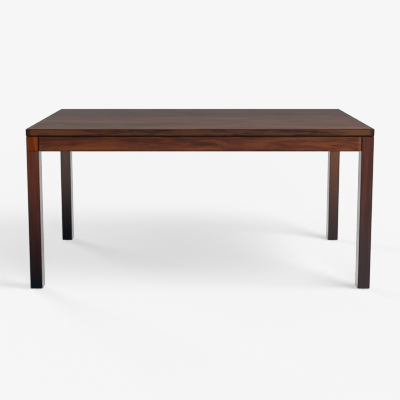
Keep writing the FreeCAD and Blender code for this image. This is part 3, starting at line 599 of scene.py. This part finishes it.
folds = [(CLIP_HOOK, CLIP_LOWER), (CLIP_STEP, CLIP_LOWER)]
folds += [(CLIP_STEP, CLIP_UPPER), (CLIP_REACH, CLIP_UPPER)]
clip = draw_line([(-CLIP_WIDTH / 2, out, up) for out, up in folds])
for vertex in clip.data.vertices:
    vertex.select = abs(vertex.co.y - CLIP_STEP) < TOUCHING
bpy.ops.object.mode_set(mode="EDIT")
bpy.ops.mesh.bevel(affect="VERTICES", offset=CLIP_BEND, segments=5)
bpy.ops.mesh.select_all(action="SELECT")
bpy.ops.mesh.extrude_region_move(TRANSFORM_OT_translate={"value": (CLIP_WIDTH, 0, 0)})
bpy.ops.object.mode_set(mode="OBJECT")
sheet = clip.modifiers.new("sheet", "SOLIDIFY")
sheet.thickness = CLIP_THICK
sheet.offset = 0
bpy.ops.object.modifier_apply(modifier=sheet.name)
punch = turn([(0, -PUNCH_REACH), (CLIP_BORE, -PUNCH_REACH), (CLIP_BORE, PUNCH_REACH), (0, PUNCH_REACH)])
punch.location = CLIP_HOLE
combine(clip, "DIFFERENCE", punch)
burr = clip.modifiers.new("burr", "BEVEL")
burr.width = CLIP_BURR
burr.segments = 2
bpy.ops.object.modifier_apply(modifier=burr.name)

clip_places = []
for side in (-1, 1):
    for end in (-1, 1):
        turned = Matrix.Rotation(math.pi if side > 0 else 0, 4, "Z")
        for station in CLIP_STATIONS:
            seat = Matrix.Translation((end * station, side * long_face, TOP_UNDERSIDE))
            clip_places.append(seat @ turned)
        turned = Matrix.Rotation(end * math.pi / 2, 4, "Z")
        seat = Matrix.Translation((end * short_face, side * BOARD_WIDTH, TOP_UNDERSIDE))
        clip_places.append(seat @ turned)
clips = set_out(clip, "bent_top_clips", clip_places)
bpy.data.objects.remove(clip)
fit(clips, sheet_zinc, "table", "top_clips")


# Wood screws: domed heads with a cross recess and a coarse thread up to the head, zinc-plated.
# They fix the corner plates and the clips, and longer ones go up through the cross rails.

SCREW_RADIUS, SCREW_POINT, SCREW_NECK = 0.0021, 0.003, 0.001
SCREW_PITCH, SCREW_DEPTH = 0.0018, 0.0007
HEAD_RADIUS, HEAD_HEIGHT, DOME_STEPS = 0.004, 0.0026, 6
RECESS_REACH, RECESS_SIDE, RECESS_DEPTH = 0.0024, 0.0006, 0.0018
RECESS_START, RECESS_TAPER = -HEAD_HEIGHT - 0.0002, 0.45
PLATE_SCREW, CLIP_SCREW, RAIL_SCREW = 0.0175, 0.018, 0.038
PLATE_SHEET, PLATE_MARGIN = 0.0025, 0.015
RAIL_SINK = 0.028
RAIL_STATIONS = (-2 * BOARD_WIDTH, 0, 2 * BOARD_WIDTH)


def wood_screw(length):
    """A screw with its point up Z and the underside of its head at the origin."""
    screw = wind_thread(SCREW_RADIUS, SCREW_DEPTH, SCREW_PITCH, -SCREW_DEPTH, length + SCREW_PITCH)
    blank = [(0, -SCREW_NECK), (SCREW_RADIUS, -SCREW_NECK)]
    blank += [(SCREW_RADIUS, length - SCREW_POINT), (0, length)]
    combine(screw, "INTERSECT", turn(blank))
    dome = [math.pi / 2 * step / DOME_STEPS for step in range(DOME_STEPS + 1)]
    head = [(HEAD_RADIUS * math.sin(bend), -HEAD_HEIGHT * math.cos(bend)) for bend in dome]
    combine(screw, "UNION", turn(head + [(0, 0)]))
    quarter = [(RECESS_REACH, RECESS_SIDE), (RECESS_SIDE, RECESS_SIDE), (RECESS_SIDE, RECESS_REACH)]
    turns = [Matrix.Rotation(step * math.pi / 2, 3, "Z") for step in range(4)]
    recess = draw_line([spin @ Vector((x, y, RECESS_START)) for spin in turns for x, y in quarter])
    bpy.ops.object.mode_set(mode="EDIT")
    bpy.ops.mesh.select_all(action="SELECT")
    bpy.ops.mesh.edge_face_add()
    bpy.ops.mesh.extrude_region_move(TRANSFORM_OT_translate={"value": (0, 0, RECESS_DEPTH)})
    bpy.ops.transform.resize(value=(RECESS_TAPER, RECESS_TAPER, 1), center_override=(0, 0, 0))
    join_seams()
    bpy.ops.object.mode_set(mode="OBJECT")
    combine(screw, "DIFFERENCE", recess)
    return screw


plate_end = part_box("corner_plate_rear_right")[0]
rail_low, rail_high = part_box("cross_rail_right")
rail_axis, rail_head = (rail_low.x + rail_high.x) / 2, rail_low.z + RAIL_SINK
plate_places, rail_places = [], []
for side in (-1, 1):
    for end in (-1, 1):
        short_seat = (end * (short_face - PLATE_SHEET), side * (plate_end.y + PLATE_MARGIN))
        long_seat = (end * (plate_end.x + PLATE_MARGIN), side * (long_face - PLATE_SHEET))
        for level in bolt_levels:
            plate_places.append(aim((*short_seat, level), (end, 0, 0)))
            plate_places.append(aim((*long_seat, level), (0, side, 0)))
    for station in RAIL_STATIONS:
        rail_places.append(Matrix.Translation((side * rail_axis, station, rail_head)))

SCREWS = (
    ("corner_plate_screws", PLATE_SCREW, plate_places),
    ("top_clip_screws", CLIP_SCREW, [place @ Matrix.Translation(CLIP_HOLE) for place in clip_places]),
    ("cross_rail_screws", RAIL_SCREW, rail_places),
)
for node, length, places in SCREWS:
    screw = wood_screw(length)
    screws = set_out(screw, "recessed_" + node, places)
    bpy.data.objects.remove(screw)
    fit(screws, bolt_zinc, "table", node)


# Levelling feet: a threaded insert in each leg, a stem with a hexagon to turn it by, and a nylon pad
# that swivels on the stem's flange.

FLANGE_RADIUS, FLANGE_FOOT, FLANGE_TOP = 0.007, 0.0015, 0.003
NECK_RADIUS, NECK_TOP = 0.0045, 0.006
STEM_HEX_FOOT, STEM_HEX_TOP, STEM_TOP = 0.0045, 0.0095, 0.0415
STEM_LAP = 0.001
NYLON_SCUFFS, SCUFF_NOISE = (140, 140, 140), (0.35, 0.7)
NYLON_STIPPLE, NYLON_SHEEN = (1900, 1900, 1900), (0.5, 0.72)
STIPPLE_DEPTH, STIPPLE_STRENGTH = 0.0002, 0.25
dress(bolt_zinc, "foot_inserts")

stem = wind_thread(BOLT_RADIUS, FINE_DEPTH, FINE_PITCH, STEM_HEX_TOP - STEM_LAP, STEM_TOP + FINE_PITCH)
blank = [(0, STEM_HEX_FOOT), (BOLT_RADIUS, STEM_HEX_FOOT), (BOLT_RADIUS, STEM_TOP - BOLT_BEVEL)]
blank += [(BOLT_RADIUS - BOLT_BEVEL, STEM_TOP), (0, STEM_TOP)]
combine(stem, "INTERSECT", turn(blank))
combine(stem, "UNION", hexagon(NUT_ACROSS, STEM_HEX_FOOT, STEM_HEX_TOP))
flange = [(0, FLANGE_FOOT), (FLANGE_RADIUS, FLANGE_FOOT), (FLANGE_RADIUS, FLANGE_TOP)]
flange += [(NECK_RADIUS, FLANGE_TOP), (NECK_RADIUS, NECK_TOP), (0, NECK_TOP)]
combine(stem, "UNION", turn(flange))
for corner, axis in leg_axes.items():
    threaded = set_out(stem, "threaded_stem_" + corner, [Matrix.Translation((axis.x, axis.y, 0))])
    fit(threaded, bolt_zinc, "stem_" + corner, "foot_stem_" + corner)
bpy.data.objects.remove(stem)

pad_finish, tree, shader = start_finish("foot_nylon")
place = part_space(tree)
scuffs = figure(tree, place, NYLON_SCUFFS, detail=4)
stipple = figure(tree, place, NYLON_STIPPLE, detail=2)
colour = blend_colours(tree, spread(tree, scuffs, *SCUFF_NOISE), shade(22, 22, 24), shade(46, 45, 46))
tree.links.new(colour, shader.inputs["Base Color"])
tree.links.new(spread(tree, scuffs, *MOST_NOISE, *NYLON_SHEEN), shader.inputs["Roughness"])
moulded = {"Height": stipple, "Strength": STIPPLE_STRENGTH, "Distance": STIPPLE_DEPTH}
tree.links.new(add_node(tree, "Bump", moulded).outputs[0], shader.inputs["Normal"])
dress(pad_finish, *("foot_pad_" + corner for corner in CORNERS))


# Studio: a plain pale floor that catches the table's shadow, walls far off that hide its horizon, a
# large soft lamp above the table on the front right, a low one in front, a low one behind on the
# left, and even light from all round.

FLOOR_LEVEL, FLOOR_GLOW = 0.8, 0.8
FLOOR_SIDE, WALL_HEIGHT = 60, 8
WHITE = (1, 1, 1, 1)
bpy.ops.mesh.primitive_plane_add(size=FLOOR_SIDE)
floor = bpy.context.object
floor.name = "floor"
floor.is_shadow_catcher = True
floor_finish, tree, shader = start_finish("floor_paper")
shader.inputs["Base Color"].default_value = (FLOOR_LEVEL, FLOOR_LEVEL, FLOOR_LEVEL, 1)
shader.inputs["Specular IOR Level"].default_value = 0
shader.inputs["Emission Color"].default_value = WHITE
rays = add_node(tree, "LightPath", {}).outputs
seen = work_out(tree, "MAXIMUM", rays["Is Camera Ray"], rays["Is Glossy Ray"])
tree.links.new(work_out(tree, "MULTIPLY", seen, FLOOR_GLOW), shader.inputs["Emission Strength"])
floor.data.materials.append(floor_finish)

bpy.ops.mesh.primitive_plane_add(size=FLOOR_SIDE)
walls = bpy.context.object
walls.name = "walls"
walls.is_shadow_catcher = True
walls.visible_diffuse = False
walls.visible_glossy = False
walls.visible_transmission = False
walls.visible_shadow = False
bpy.ops.object.mode_set(mode="EDIT")
bpy.ops.mesh.delete(type="ONLY_FACE")
bpy.ops.mesh.select_all(action="SELECT")
bpy.ops.mesh.extrude_region_move(TRANSFORM_OT_translate={"value": (0, 0, WALL_HEIGHT)})
bpy.ops.object.mode_set(mode="OBJECT")
walls.data.materials.append(floor_finish)

BACKDROP, FILL = 0.922, 0.1
world = bpy.data.worlds.new("studio")
world.use_nodes = True
scene.world = world
tree = world.node_tree
rays = add_node(tree, "LightPath", {}).outputs
seen = work_out(tree, "MAXIMUM", rays["Is Camera Ray"], rays["Is Glossy Ray"])
seen = work_out(tree, "MAXIMUM", seen, rays["Is Transmission Ray"])
level = add_node(tree, "MapRange", {"Value": seen, "To Min": FILL, "To Max": BACKDROP}).outputs[0]
tree.links.new(level, tree.nodes["Background"].inputs["Strength"])
tree.nodes["Background"].inputs["Color"].default_value = WHITE

# Each lamp's name, place, aim, width in metres and power in watts.
LAMPS = (
    ("key_lamp", (2.3, -1.15, 2.7), (0, 0, 0.7), 1.7, 90),
    ("front_lamp", (0.9, -5.5, 1.4), (0, 0, 0.45), 2.4, 172),
    ("rear_lamp", (-4.5, 4.0, 1.0), (0, 0, 0.45), 2.0, 240),
)
for name, location, target, size, energy in LAMPS:
    bpy.ops.object.light_add(type="AREA", location=location)
    lamp = bpy.context.object
    lamp.name = name
    lamp.data.size = size
    lamp.data.energy = energy
    lamp.visible_camera = False
    lamp.rotation_euler = (Vector(location) - Vector(target)).to_track_quat("Z", "Y").to_euler()


# Camera: in front of the table and above it, where the photograph was taken from. It looks down by
# a few degrees, and a small shift of the lens places the table in the picture as it is there.

CAMERA_PLACE = (-0.0004, -3.8673, 1.2107)
CAMERA_TILT = math.radians(7.376)
LENS, LENS_SHIFT = 67.77, -0.18
bpy.ops.object.camera_add(location=CAMERA_PLACE, rotation=(math.pi / 2 - CAMERA_TILT, 0, 0))
camera = bpy.context.object
camera.data.lens = LENS
camera.data.shift_y = LENS_SHIFT
scene.camera = camera

scene.view_settings.view_transform = "Standard"
